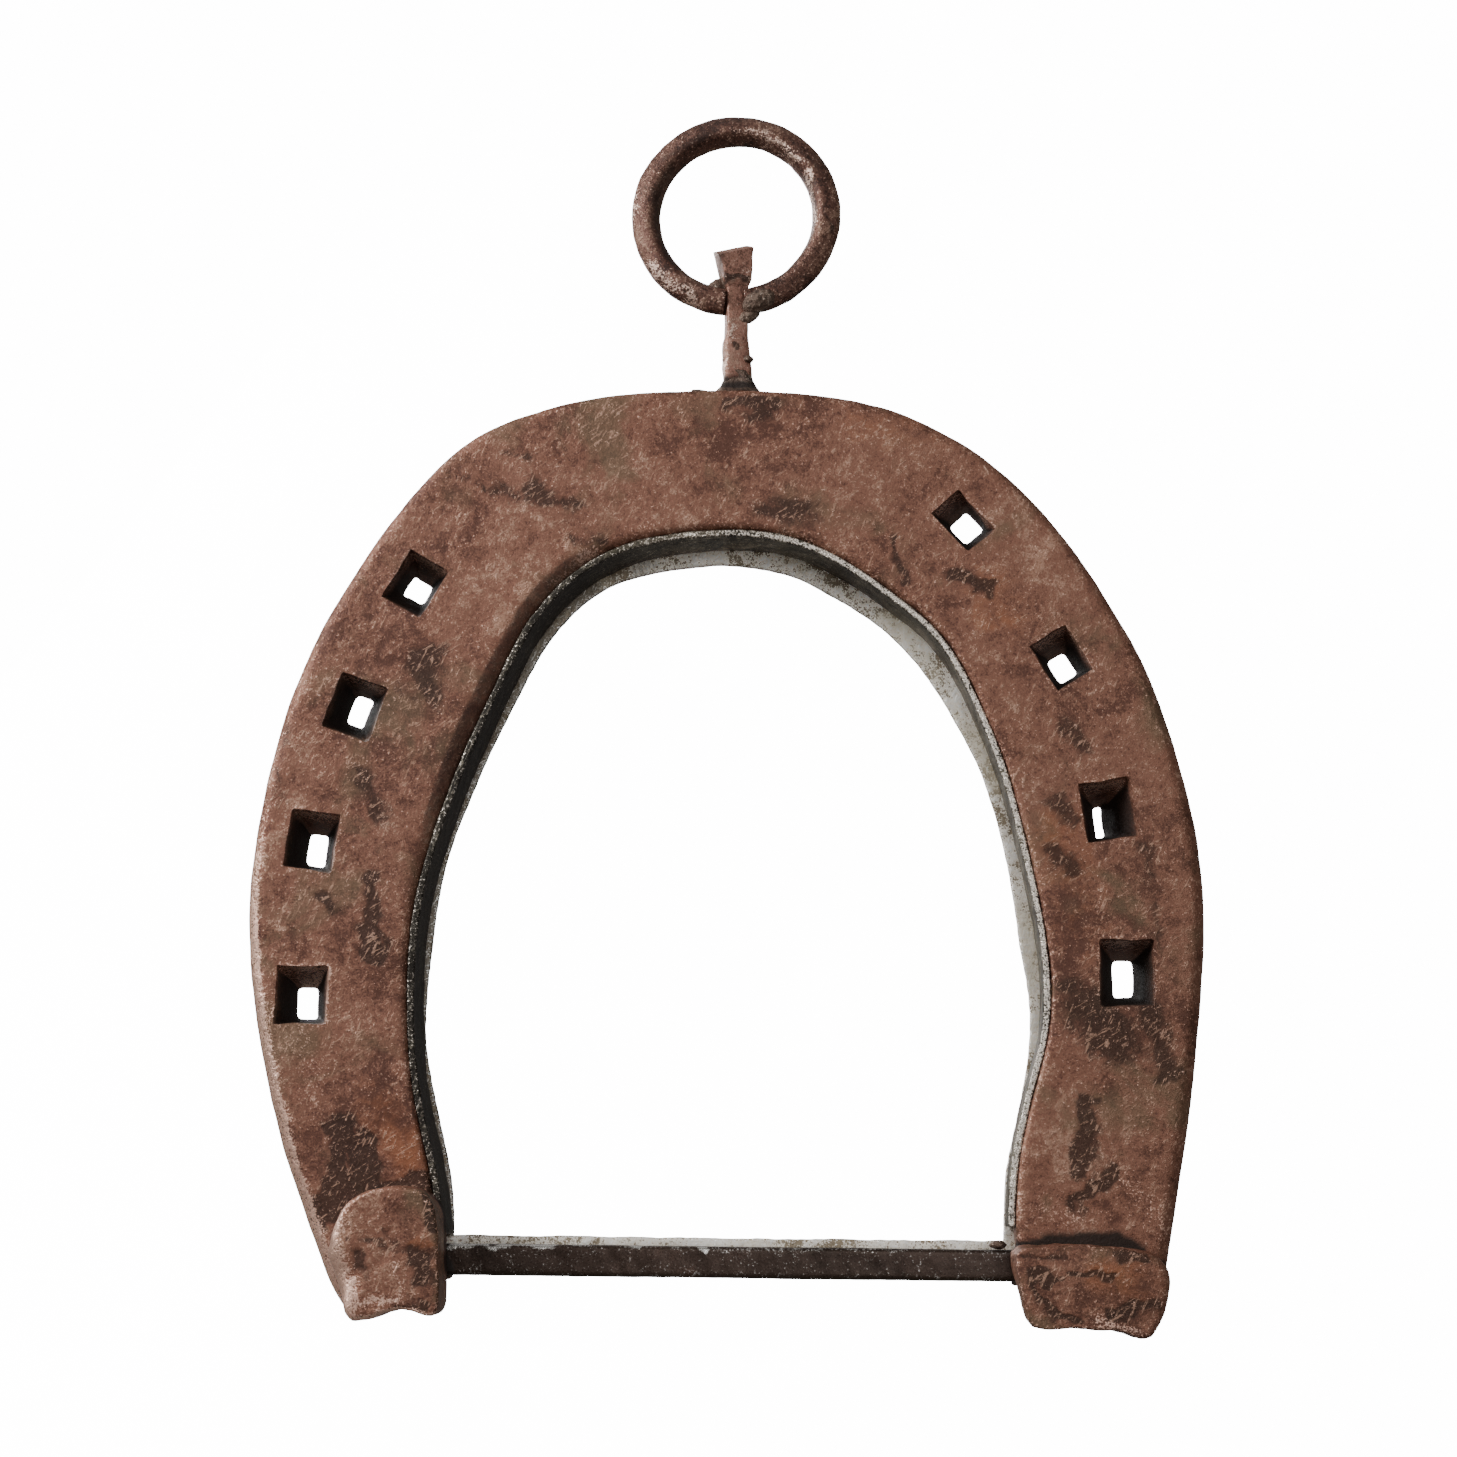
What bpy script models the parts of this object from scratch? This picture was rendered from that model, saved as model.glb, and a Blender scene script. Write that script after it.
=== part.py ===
# Forged horseshoe made into a hanging frame: a heavy shoe with eight tapered nail holes and
# folded heels, a thin band round its opening, a rim behind the band, a bar between the
# heels, and a ring welded to a horse nail that stands on the toe.
# Metres, +Z up, front towards -Y. The origin is the inside top of the ring, where it hangs.

import math

import bmesh
import bpy
import numpy as np

MM = 0.001
GAP = 0.3          # clearance left between touching pieces, in mm

# Depths in mm, front to back
SHOE_FRONT = -5.0
SHOE_BACK = 5.0
HEEL_RISE = 8.0            # how far the turned heels stand out of the shoe's front
HEEL_ROOT = SHOE_FRONT + 0.15
BAND_FRONT = -4.5
BAND_THICKNESS = 0.8
RIM_THICKNESS = 1.0
RIM_WIDTH = 4.5

# Ring and nail in mm
RING_RADIUS = 15.1         # middle of the rod
RING_ROD = 2.45            # radius of the rod
RING_END = 2.15            # half the opening between the ring's two ends
NAIL_TURN = 17.0           # degrees the nail is turned about its length
NAIL_FOOT = -40.2
TOE_TOP = -44.15           # where the nail's weld meets the toe

# Cross bar in mm: top corners at its two ends, and its section
BAR_LEFT = (-44.7, -181.4)
BAR_RIGHT = (42.2, -182.4)
BAR_HEIGHT = 4.8
BAR_FRONT = -2.0
BAR_BACK = 4.7
STRIP_RISE = 1.3           # how far the rear strip stands above the bar

# Edges of the shoe as (x, z) stations in mm, from the left heel over the toe to the right
OUTER_EDGE = [(-59.2, -193.1), (-62.4, -188.6), (-64.6, -183.6), (-71.5, -165.4),
              (-76.4, -144.7), (-77.7, -124.6), (-73.8, -101.2), (-66.6, -82.3),
              (-55.5, -64.5), (-43.2, -51.8), (-26.8, -45.9), (-9.7, -44.4),
              (7.4, -44.7), (24.2, -47.7), (39.4, -55.6), (51.1, -67.4),
              (60.1, -81.2), (67.0, -95.6), (72.5, -118.1), (73.1, -136.6),
              (70.7, -158.0), (67.4, -175.9), (64.8, -189.6), (62.4, -195.0)]

INNER_EDGE = [(-44.9, -191.9), (-44.6, -182.6), (-46.2, -171.1), (-49.4, -157.6),
              (-50.6, -144.1), (-49.7, -128.1), (-45.2, -112.2), (-38.6, -96.0),
              (-30.6, -80.8), (-18.6, -71.7), (-1.0, -69.2), (12.4, -71.8),
              (25.4, -80.4), (33.7, -88.9), (40.9, -105.0), (45.0, -121.0),
              (47.7, -136.6), (47.6, -148.6), (44.7, -159.1), (42.2, -170.6),
              (41.9, -182.6), (44.7, -193.6)]

# Inner edge of the rim behind the band, from the left heel over the toe to the right
RIM_EDGE = [(-45.2, -184.1), (-45.5, -172.6), (-49.6, -154.1), (-50.4, -144.6),
            (-48.2, -123.8), (-43.8, -110.1), (-38.1, -97.2), (-30.9, -83.5),
            (-22.1, -75.2), (-12.4, -72.4), (-1.5, -71.5), (9.2, -73.6),
            (18.5, -78.9), (25.9, -84.6), (32.6, -93.5), (39.2, -106.3),
            (42.9, -119.8), (45.0, -134.6), (46.4, -146.6), (44.8, -158.4),
            (42.0, -170.6), (41.3, -185.1)]

# Nail holes: x and z at the front face, lean from upright in degrees, half width and half
# height of the head seat, then how far the small end at the back is moved in x and z, and its
# half width and half height
NAIL_HOLES = {
    "left_1": (-51.8, -76.6, 31, 3.7, 4.6, -1.3, 1.3, 1.85, 1.7),
    "left_2": (-61.1, -96.9, 20, 4.1, 4.7, -1.3, 1.2, 1.4, 2.5),
    "left_3": (-67.5, -118.5, 8, 4.0, 4.7, -1.2, -0.2, 1.8, 2.6),
    "left_4": (-68.4, -143.0, 1, 4.1, 4.6, -1.1, -0.6, 1.9, 2.5),
    "right_1": (36.8, -67.5, -41, 2.9, 4.4, 0.9, 1.4, 1.9, 2.0),
    "right_2": (52.0, -90.2, -31, 3.4, 4.3, 0.8, 0.4, 1.6, 2.1),
    "right_3": (58.8, -114.7, -8, 4.1, 4.7, -0.9, -0.6, 1.0, 2.5),
    "right_4": (60.9, -140.3, 0, 4.2, 5.2, 0.2, -0.1, 1.85, 2.9),
}

# Front outlines of the two turned heels, as (x, z) stations in mm
LEFT_HEEL = [(-57.4, -192.8), (-60.0, -187.8), (-61.8, -182.6), (-59.6, -176.6),
             (-56.6, -174.1), (-52.2, -172.8), (-48.0, -173.3), (-45.4, -175.5),
             (-44.5, -180.6), (-44.4, -186.6), (-44.9, -191.9), (-50.1, -190.9)]
RIGHT_HEEL = [(44.8, -193.5), (43.3, -189.0), (42.3, -182.8), (46.0, -181.8),
              (53.4, -181.5), (60.4, -182.6), (64.0, -184.6), (64.6, -187.8),
              (63.6, -192.6), (61.4, -195.3), (57.2, -194.1), (50.4, -193.5)]


def smooth_path(stations, steps, closed=False):
    """Points along a Catmull-Rom curve that passes through every station."""
    knots = np.array(stations, dtype=float)
    if closed:
        knots = np.vstack([knots[-1:], knots, knots[:2]])
    else:
        knots = np.vstack([2 * knots[0] - knots[1], knots, 2 * knots[-1] - knots[-2]])
    points = []
    for a, b, c, d in zip(knots, knots[1:], knots[2:], knots[3:]):
        for t in np.arange(steps) / steps:
            points.append(0.5 * (2 * b + (c - a) * t + (2 * a - 5 * b + 4 * c - d) * t ** 2
                                 + (3 * b - a - 3 * c + d) * t ** 3))
    if not closed:
        points.append(knots[-2])
    return np.array(points)


def offset_path(path, distance):
    """Moves an open path to its left side, as seen going along it, by distance."""
    along = np.gradient(path, axis=0)
    along /= np.linalg.norm(along, axis=1)[:, None]
    return path + distance * np.column_stack([-along[:, 1], along[:, 0]])


def metal(name, colour, roughness, metallic=0.8):
    material = bpy.data.materials.new(name)
    material.use_nodes = True
    shader = material.node_tree.nodes["Principled BSDF"]
    shader.inputs["Base Color"].default_value = (*colour, 1)
    shader.inputs["Roughness"].default_value = roughness
    shader.inputs["Metallic"].default_value = metallic
    return material


def add_object(name, mesh_builder, material=None, smooth_angle=35):
    """Turns a finished bmesh, built in mm, into a named object in metres."""
    bmesh.ops.scale(mesh_builder, vec=(MM, MM, MM), verts=mesh_builder.verts)
    bmesh.ops.recalc_face_normals(mesh_builder, faces=mesh_builder.faces)
    mesh = bpy.data.meshes.new(name)
    mesh_builder.to_mesh(mesh)
    mesh_builder.free()
    mesh.shade_smooth()
    mesh.set_sharp_from_angle(angle=math.radians(smooth_angle))
    part = bpy.data.objects.new(name, mesh)
    bpy.context.collection.objects.link(part)
    if material:
        mesh.materials.append(material)
    return part


def loft(loops):
    """A closed solid through loops of equal point counts, with flat caps at both ends."""
    builder = bmesh.new()
    rows = [[builder.verts.new(point) for point in loop] for loop in loops]
    count = len(rows[0])
    for low, high in zip(rows, rows[1:]):
        for i in range(count):
            j = (i + 1) % count
            builder.faces.new((low[i], low[j], high[j], high[i]))
    builder.faces.new(rows[0])
    builder.faces.new(rows[-1])
    return builder


def at_depth(outline, y):
    return [(x, y, z) for x, z in outline]


def ball(name, centre, radii, material, segments=12):
    """A small rounded bead."""
    builder = bmesh.new()
    bmesh.ops.create_uvsphere(builder, u_segments=segments, v_segments=segments // 2 + 2,
                              radius=1)
    bmesh.ops.scale(builder, vec=radii, verts=builder.verts)
    bmesh.ops.translate(builder, vec=centre, verts=builder.verts)
    return add_object(name, builder, material, smooth_angle=180)


def combine(target, tool, operation):
    """Applies a hidden helper solid to the target."""
    tool.hide_render = True
    tool.display_type = "WIRE"
    step = target.modifiers.new(tool.name, "BOOLEAN")
    step.operation = operation
    step.solver = "EXACT"
    step.object = tool


def shoe_outline(inset):
    """The U-shaped outline of the shoe, drawn in from its edges by inset."""
    outer = offset_path(smooth_path(OUTER_EDGE, 4), -inset)
    wall = BAND_THICKNESS + GAP
    inner = offset_path(smooth_path(INNER_EDGE, 4), wall + inset)
    return np.vstack([outer, inner[::-1]])


def turned_heel(name, stations):
    """The folded heel: full at its root, a little drawn in and rounded at its front."""
    outline = smooth_path(stations, 3, closed=True)
    middle = outline.mean(axis=0)
    front = SHOE_FRONT - HEEL_RISE
    levels = [(HEEL_ROOT, 1.0), (front + 2.5, 1.0), (front + 0.8, 0.95), (front, 0.86)]
    loops = [at_depth(middle + (outline - middle) * size, y) for y, size in levels]
    return add_object(name, loft(loops))


def nail_hole(name, x, z, lean, half_width, half_height, shift_x, shift_z, back_width,
              back_height):
    """A cutter that narrows from the nail's head seat at the front to the back."""
    turn = math.radians(lean)
    across = np.array([math.cos(turn), -math.sin(turn)])
    upward = np.array([math.sin(turn), math.cos(turn)])
    front = np.array([x, z])
    back = front + (shift_x, shift_z)
    past = 0.25            # each end runs past its face by this share of the depth
    loops = []
    for share in (-past, 1, 1 + past):
        middle = front + (back - front) * share
        wide = half_width + (back_width - half_width) * min(share, 1)
        tall = half_height + (back_height - half_height) * min(share, 1)
        corners = [middle + sx * wide * across + sz * tall * upward
                   for sx, sz in ((-1, -1), (1, -1), (1, 1), (-1, 1))]
        loops.append(at_depth(corners, SHOE_FRONT + (SHOE_BACK - SHOE_FRONT) * share))
    return add_object(name, loft(loops))


def make_shoe(material):
    levels = [(SHOE_FRONT, 1.3), (SHOE_FRONT + 0.5, 0.45), (SHOE_FRONT + 1.5, 0.0),
              (SHOE_BACK - 1.0, 0.0), (SHOE_BACK, 0.8)]
    loops = [at_depth(shoe_outline(inset), y) for y, inset in levels]
    shoe = add_object("horseshoe", loft(loops), material)
    combine(shoe, turned_heel("left_heel_fold", LEFT_HEEL), "UNION")
    combine(shoe, turned_heel("right_heel_fold", RIGHT_HEEL), "UNION")
    for name, sizes in NAIL_HOLES.items():
        combine(shoe, nail_hole("nail_hole_" + name, *sizes), "DIFFERENCE")


def make_band(material):
    """The thin strip that lines the opening and stands on the cross bar."""
    path = smooth_path(INNER_EDGE, 4)
    above_bar = BAR_RIGHT[1] + GAP + 0.9
    path = path[path[:, 1] > above_bar]
    outline = np.vstack([path, offset_path(path, BAND_THICKNESS)[::-1]])
    loops = [at_depth(outline, y) for y in (BAND_FRONT, SHOE_BACK)]
    add_object("inner_band", loft(loops), material)


def make_rim(material):
    """The flat rim behind the band, and the straight strip that closes it at the bar."""
    path = smooth_path(RIM_EDGE, 4)
    outline = np.vstack([path, offset_path(path, RIM_WIDTH)[::-1]])
    front = SHOE_BACK + GAP
    loops = [at_depth(outline, y) for y in (front, front + RIM_THICKNESS)]
    add_object("rear_rim", loft(loops), material)

    left = RIM_EDGE[0][0] + GAP
    right = RIM_EDGE[-1][0] - GAP
    outline = [(left, BAR_LEFT[1] - 2), (right, BAR_RIGHT[1] - 2),
               (right, BAR_RIGHT[1] + STRIP_RISE), (left, BAR_LEFT[1] + STRIP_RISE)]
    loops = [at_depth(outline, y) for y in (front, front + RIM_THICKNESS)]
    add_object("rear_strip", loft(loops), material)


def make_bar(material):
    """The square bar between the heels, slightly lower at its right end."""
    outline = [BAR_LEFT, BAR_RIGHT, (BAR_RIGHT[0], BAR_RIGHT[1] - BAR_HEIGHT),
               (BAR_LEFT[0], BAR_LEFT[1] - BAR_HEIGHT)]
    loops = [at_depth(outline, y) for y in (BAR_FRONT, BAR_BACK)]
    add_object("cross_bar", loft(loops), material)


def make_ring(material):
    """A round rod bent into an open ring, whose ends stand either side of the nail."""
    centre_z = -(RING_RADIUS - RING_ROD)
    end_angle = math.asin(RING_END / RING_RADIUS)
    rod = np.arange(14) / 14 * 2 * math.pi
    loops = []
    for turn in np.linspace(end_angle, 2 * math.pi - end_angle, 57):
        reach = RING_RADIUS + RING_ROD * np.cos(rod)
        loops.append([(-r * math.sin(turn), y, centre_z - r * math.cos(turn))
                      for r, y in zip(reach, RING_ROD * np.sin(rod))])
    add_object("hanging_ring", loft(loops), material)


def make_nail(material):
    """The horse nail: a flared head above the ring's rod and a plain shank below."""
    turn = math.radians(NAIL_TURN)
    # height, middle x, half width, half depth
    stations = [(NAIL_FOOT, 0.3, 1.6, 1.4), (-37.6, 0.2, 1.5, 1.35), (-36.6, 0.0, 1.7, 1.45),
                (-35.2, 0.1, 1.5, 1.35), (-31.0, 0.0, 1.35, 1.3), (-25.3, 0.0, 1.35, 1.3),
                (-24.7, 0.1, 1.9, 2.0), (-22.0, -0.1, 2.15, 2.25), (-18.5, -0.3, 2.45, 2.3)]
    cut = 0.25             # corner chamfer
    loops = []
    for z, middle, wide, deep in stations:
        corners = [(wide, cut - deep), (wide, deep - cut), (wide - cut, deep), (cut - wide, deep),
                   (-wide, deep - cut), (-wide, cut - deep), (cut - wide, -deep),
                   (wide - cut, -deep)]
        rise = (0.3, 0.45) if z > -20 else (0, 0)    # the head's top rises right and back
        loops.append([(middle + x * math.cos(turn) - y * math.sin(turn),
                       x * math.sin(turn) + y * math.cos(turn),
                       z + rise[0] * x + rise[1] * y) for x, y in corners])
    add_object("hanger_nail", loft(loops), material)


def make_toe_weld(material):
    """The flared fillet of weld between the nail's foot and the toe."""
    high = NAIL_FOOT - GAP
    low = TOE_TOP + GAP
    around = np.arange(20) / 20 * 2 * math.pi
    loops = []
    for share in (0.0, 0.4, 0.75, 1.0):
        flare = share ** 2
        wide = 2.1 + 2.5 * flare
        deep = 1.7 + 2.0 * flare
        z = high + (low - high) * share
        loops.append([(0.3 + wide * math.cos(a), deep * math.sin(a), z) for a in around])
    add_object("toe_weld", loft(loops), material)


def make_welds(material):
    """Beads that hold the ring to the nail, the bar to the heels and the rim to the shoe."""
    front_of_rod = -RING_ROD - GAP - 0.85
    ball("ring_weld_right", (3.1, front_of_rod, -28.6), (2.3, 0.85, 2.1), material)
    ball("ring_weld_left", (-3.95, 0.0, -23.7), (0.6, 1.3, 0.6), material)
    ball("bar_weld_left", (-43.5, 1.0, -187.7), (0.9, 1.6, 0.9), material)
    ball("bar_weld_right", (41.4, 1.0, -188.7), (0.9, 1.6, 0.9), material)

    outside = RIM_WIDTH + GAP + 1.2
    places = offset_path(smooth_path(RIM_EDGE, 4), outside)
    for number, index in enumerate((12, 30, 50, 70), start=1):
        x, z = places[index]
        ball(f"rim_tack_{number}", (x, SHOE_BACK + GAP + 0.5, z), (1.2, 0.5, 1.2), material)


for old in list(bpy.data.objects):
    bpy.data.objects.remove(old, do_unlink=True)

make_shoe(metal("forged_iron", (0.19, 0.10, 0.075), 0.55))
make_band(metal("band_steel", (0.12, 0.11, 0.09), 0.45))
make_rim(metal("rim_steel", (0.42, 0.40, 0.34), 0.4))
make_bar(metal("bar_steel", (0.07, 0.05, 0.04), 0.4))
make_ring(metal("ring_iron", (0.20, 0.11, 0.085), 0.5))
make_nail(metal("nail_iron", (0.20, 0.11, 0.085), 0.55))
weld_metal = metal("weld_metal", (0.15, 0.10, 0.08), 0.6)
make_toe_weld(weld_metal)
make_welds(weld_metal)
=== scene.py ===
import math

import bpy
import numpy as np
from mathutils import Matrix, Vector
from mathutils.bvhtree import BVHTree


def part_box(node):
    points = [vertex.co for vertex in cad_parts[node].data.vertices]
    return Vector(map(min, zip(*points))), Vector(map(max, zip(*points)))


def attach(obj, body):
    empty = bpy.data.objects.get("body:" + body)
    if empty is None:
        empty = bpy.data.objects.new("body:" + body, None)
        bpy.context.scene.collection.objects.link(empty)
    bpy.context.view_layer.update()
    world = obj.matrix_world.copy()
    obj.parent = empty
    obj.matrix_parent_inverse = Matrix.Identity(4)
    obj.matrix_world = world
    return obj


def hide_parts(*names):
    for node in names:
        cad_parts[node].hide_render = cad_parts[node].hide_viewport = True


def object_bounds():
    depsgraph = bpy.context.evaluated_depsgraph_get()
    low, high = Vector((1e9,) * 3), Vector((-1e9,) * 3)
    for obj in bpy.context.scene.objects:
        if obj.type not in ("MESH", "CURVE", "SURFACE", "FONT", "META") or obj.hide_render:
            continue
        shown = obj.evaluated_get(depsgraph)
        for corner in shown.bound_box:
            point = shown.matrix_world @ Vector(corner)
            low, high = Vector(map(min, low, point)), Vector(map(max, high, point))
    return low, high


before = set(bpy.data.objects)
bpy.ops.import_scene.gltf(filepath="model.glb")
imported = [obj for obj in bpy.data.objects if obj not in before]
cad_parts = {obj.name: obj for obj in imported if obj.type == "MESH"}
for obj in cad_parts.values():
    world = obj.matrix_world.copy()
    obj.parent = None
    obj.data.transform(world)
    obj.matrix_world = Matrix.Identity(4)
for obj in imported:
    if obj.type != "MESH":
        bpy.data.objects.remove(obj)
cadLow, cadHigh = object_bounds()
print("frame loaded:", len(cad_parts), "nodes")

metre = 0.001              # shapes are worked out in mm and put into meshes in metres


def boxOf(node):
    # lowest and highest corner of a frame node, in mm
    low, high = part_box(node)
    return np.array(low) / metre, np.array(high) / metre


def unit(vectors):
    # each vector divided by its length
    return vectors / np.linalg.norm(vectors, axis=-1, keepdims=True)


def ramp(values, start, end):
    # 0 at start, 1 at end, straight between them and level beyond
    return np.clip((values - start) / (end - start), 0, 1)


def lumps(points, size, seed):
    # Unevenness of hammered metal: many plane sine waves of about size mm in random directions,
    # added together and scaled so that most values lie between -1 and 1
    draw = np.random.default_rng(seed)
    waves = 16
    heading = unit(draw.normal(size=(waves, 3))).T * math.tau / (size * draw.uniform(0.7, 1.6, waves))
    phase = draw.uniform(0, math.tau, waves)
    return np.sin(points @ heading + phase).sum(axis=-1) / math.sqrt(2 * waves)


def trace(node, middle, degrees, depth, fromOutside=False):
    # Where rays in the plane y = depth meet a frame node, as (x, z) in mm. A ray's angle is from
    # straight up, clockwise. It runs out from the middle, or in from far outside towards it.
    solid = BVHTree.FromObject(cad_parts[node], bpy.context.evaluated_depsgraph_get())
    hits = []
    for angle in np.radians(degrees):
        heading = Vector((math.sin(angle), 0, math.cos(angle)))
        start = Vector((middle[0] * metre, depth * metre, middle[1] * metre))
        if fromOutside:
            start, heading = start + heading, -heading
        hit = solid.ray_cast(start, heading)[0]
        hits.append((hit.x / metre, hit.z / metre))
    return np.array(hits)


def evenPath(points, count, blur):
    # The same path with evenly spaced points: resampled finely, rounded by a bell-shaped mean
    # blur mm wide, with its ends kept, then read at count places
    fine = 0.2
    length = np.concatenate([[0], np.cumsum(np.linalg.norm(np.diff(points, axis=0), axis=1))])
    places = np.linspace(0, length[-1], int(length[-1] / fine))
    path = np.column_stack([np.interp(places, length, axis) for axis in points.T])
    half = int(3 * blur / fine)
    weights = np.exp(-0.5 * (np.arange(-half, half + 1) * fine / blur) ** 2)
    padded = np.vstack([2 * path[0] - path[half:0:-1], path, 2 * path[-1] - path[-2:-half - 2:-1]])
    path = np.column_stack([np.convolve(axis, weights / weights.sum(), "valid") for axis in padded.T])
    shares = np.linspace(0, len(path) - 1, count)
    return np.column_stack([np.interp(shares, np.arange(len(path)), axis) for axis in path.T])


def sideways(path):
    # unit vectors to the left of a path in the (x, z) plane, as seen going along it
    along = unit(np.gradient(path, axis=0))
    return np.column_stack([-along[:, 1], along[:, 0]])


def sectionPoints(corners, counts, rounding):
    # Points round a closed section: straight runs from corner to corner, with counts points in
    # each, then every point moved towards its neighbours rounding times
    runs = []
    for here, there, count in zip(corners, corners[1:] + corners[:1], counts):
        share = (np.arange(count) / count)[:, None, None]
        runs.append(here + (there - here) * share)
    points = np.concatenate(runs)
    for _ in range(rounding):
        points = (np.roll(points, 1, axis=0) + 2 * points + np.roll(points, -1, axis=0)) / 4
    return points


def pushed(rows, amount):
    # rows of points moved along the surface's outward normal by amount mm
    around = np.roll(rows, -1, axis=1) - np.roll(rows, 1, axis=1)
    normal = np.cross(np.gradient(rows, axis=0), around)
    normal /= np.linalg.norm(normal, axis=-1, keepdims=True) + 1e-9
    outward = rows - rows.mean(axis=1, keepdims=True)
    normal *= np.sign((normal * outward).sum())
    return rows + normal * amount[..., None]


def roundEnds(rows, radius, capRows=3):
    # Both ends of a carried section closed by a rounded edge: each further row steps out along a
    # quarter circle and draws in, and the cap's rows shrink towards the middle
    def ending(row, before):
        # the rows that follow a last row, away from the one before it
        middle = row.mean(axis=0)
        outwards = unit(middle - before.mean(axis=0))
        size = np.linalg.norm(row - middle, axis=1).min()
        turn = np.linspace(0, math.pi / 2, 5)[1:]
        scales = 1 - min(radius / size, 0.8) * (1 - np.cos(turn))
        steps = radius * np.sin(turn)
        shrink = scales[-1] * np.linspace(1, 0, capRows + 1)[1:-1]
        scales = np.concatenate([scales, shrink])
        steps = np.concatenate([steps, np.full(len(shrink), radius)])
        return middle + (row - middle) * scales[:, None, None] + outwards * steps[:, None, None]
    return np.concatenate([ending(rows[0], rows[1])[::-1], rows, ending(rows[-1], rows[-2])])


def shell(name, rows, sharp=50):
    # A closed skin over rows of points: quads between neighbouring rows, and a fan from the
    # middle of the first and the last row. No point goes outside the frame's box, and the skin
    # is turned so that its faces look outwards.
    count, around = rows.shape[:2]
    points = np.vstack([rows.reshape(-1, 3), rows[0].mean(axis=0), rows[-1].mean(axis=0)])
    points = np.clip(points, np.array(cadLow) / metre, np.array(cadHigh) / metre)
    here = np.arange(count * around).reshape(count, around)
    beside = np.roll(here, -1, axis=1)
    quads = np.stack([here[:-1], beside[:-1], beside[1:], here[1:]], axis=-1).reshape(-1, 4)
    poles = np.full(around, count * around)
    fans = np.vstack([np.column_stack([beside[0], here[0], poles]),
                      np.column_stack([here[-1], beside[-1], poles + 1])])
    corners = points[quads]
    volume = (corners[:, 0] * np.cross(corners[:, 1], corners[:, 2])).sum()
    volume += (corners[:, 0] * np.cross(corners[:, 2], corners[:, 3])).sum()
    mesh = bpy.data.meshes.new(name)
    mesh.from_pydata(points * metre, [], quads.tolist() + fans.tolist())
    if volume < 0:
        mesh.flip_normals()
    smooth(mesh, sharp)
    piece = bpy.data.objects.new(name, mesh)
    bpy.context.collection.objects.link(piece)
    return piece


def smooth(mesh, sharp):
    # soft shading, except along edges that turn by more than sharp degrees
    mesh.shade_smooth()
    mesh.set_sharp_from_angle(angle=math.radians(sharp))


def readPoints(mesh, field="co"):
    # a vector of every vertex, as rows
    values = np.empty(len(mesh.vertices) * 3)
    mesh.vertices.foreach_get(field, values)
    return values.reshape(-1, 3)


def bulge(mesh, spread):
    # How convex the surface is at each vertex, per mm: along each edge, the change of normal over
    # the change of place, then averaged with its neighbours spread times. Creases are negative.
    ends = np.empty(len(mesh.edges) * 2, dtype=int)
    mesh.edges.foreach_get("vertices", ends)
    one, other = ends.reshape(-1, 2).T
    places = readPoints(mesh) / metre
    normals = readPoints(mesh, "normal")
    gap = places[one] - places[other]
    bend = ((normals[one] - normals[other]) * gap).sum(axis=1) / ((gap ** 2).sum(axis=1) + 0.01)
    count = np.bincount(ends, minlength=len(places)) + 1e-6
    def meet(values):
        # the mean over each vertex's edges
        total = np.bincount(one, values, len(places)) + np.bincount(other, values, len(places))
        return total / count
    result = meet(bend)
    for _ in range(spread):
        result = 0.4 * result + 0.3 * (meet(result[other]) + meet(result[one]))
    return result


def strokes(places, lines, wandering):
    # Soft-edged marks in the (x, z) plane. Each line is (x, z, x, z, width, strength): full
    # strength on the line from the first point to the second, fading over its width. The places
    # are read with a shift that wanders by about wandering mm, so no mark has an even outline.
    value = np.zeros(len(places))
    wander = np.column_stack([lumps(places, 5, 7) + 0.5 * lumps(places, 2, 8),
                              lumps(places, 5, 9) + 0.5 * lumps(places, 2, 10)])
    flat = places[:, [0, 2]] + wander * wandering
    for x1, z1, x2, z2, width, strength in lines:
        start = np.array([x1, z1])
        run = np.array([x2, z2]) - start
        offset = flat - start
        share = np.clip(offset @ run / (run @ run + 1e-9), 0, 1)
        distance = np.linalg.norm(offset - share[:, None] * run, axis=1)
        value = np.maximum(value, strength * np.exp(-(distance / width) ** 2))
    return value


def paintMarks(places, normals, marks):
    # values of each kind of mark at the places: stains and rust only lie on the front
    facing = np.clip(0.5 - 1.5 * normals[:, 1], 0, 1)
    # the marks of wear and painted highlight, and of painted shade with some soot, wander less than
    # stains
    wandering = {"stain": 1.0, "orange": 1.0, "wearAndHighlight": 0.7, "shadeAndSoot": 0.3}
    values = {name: strokes(places, marks.get(name, ()), far) for name, far in wandering.items()}
    values["stain"] *= facing
    values["orange"] *= facing
    return values


def finishPiece(piece, material, slot, *nodes, marks=None, painter=paintMarks):
    # Gives a piece its material, its painted marks, its body and the nodes it stands for; slot is not
    # used
    mesh = piece.data
    curve = bulge(mesh, 2)
    fields = painter(readPoints(mesh) / metre, readPoints(mesh, "normal"), marks or {})
    fields["edge"] = np.clip(curve, 0, 2)
    fields["crease"] = np.clip(-curve, 0, 2)
    for name, values in fields.items():
        mesh.attributes.new(name, "FLOAT", "POINT").data.foreach_set("value", values)
    mesh.materials.clear()
    mesh.materials.append(material)
    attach(piece, "root")
    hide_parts(*nodes)
    print("made", piece.name, len(mesh.polygons), "faces")


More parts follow.
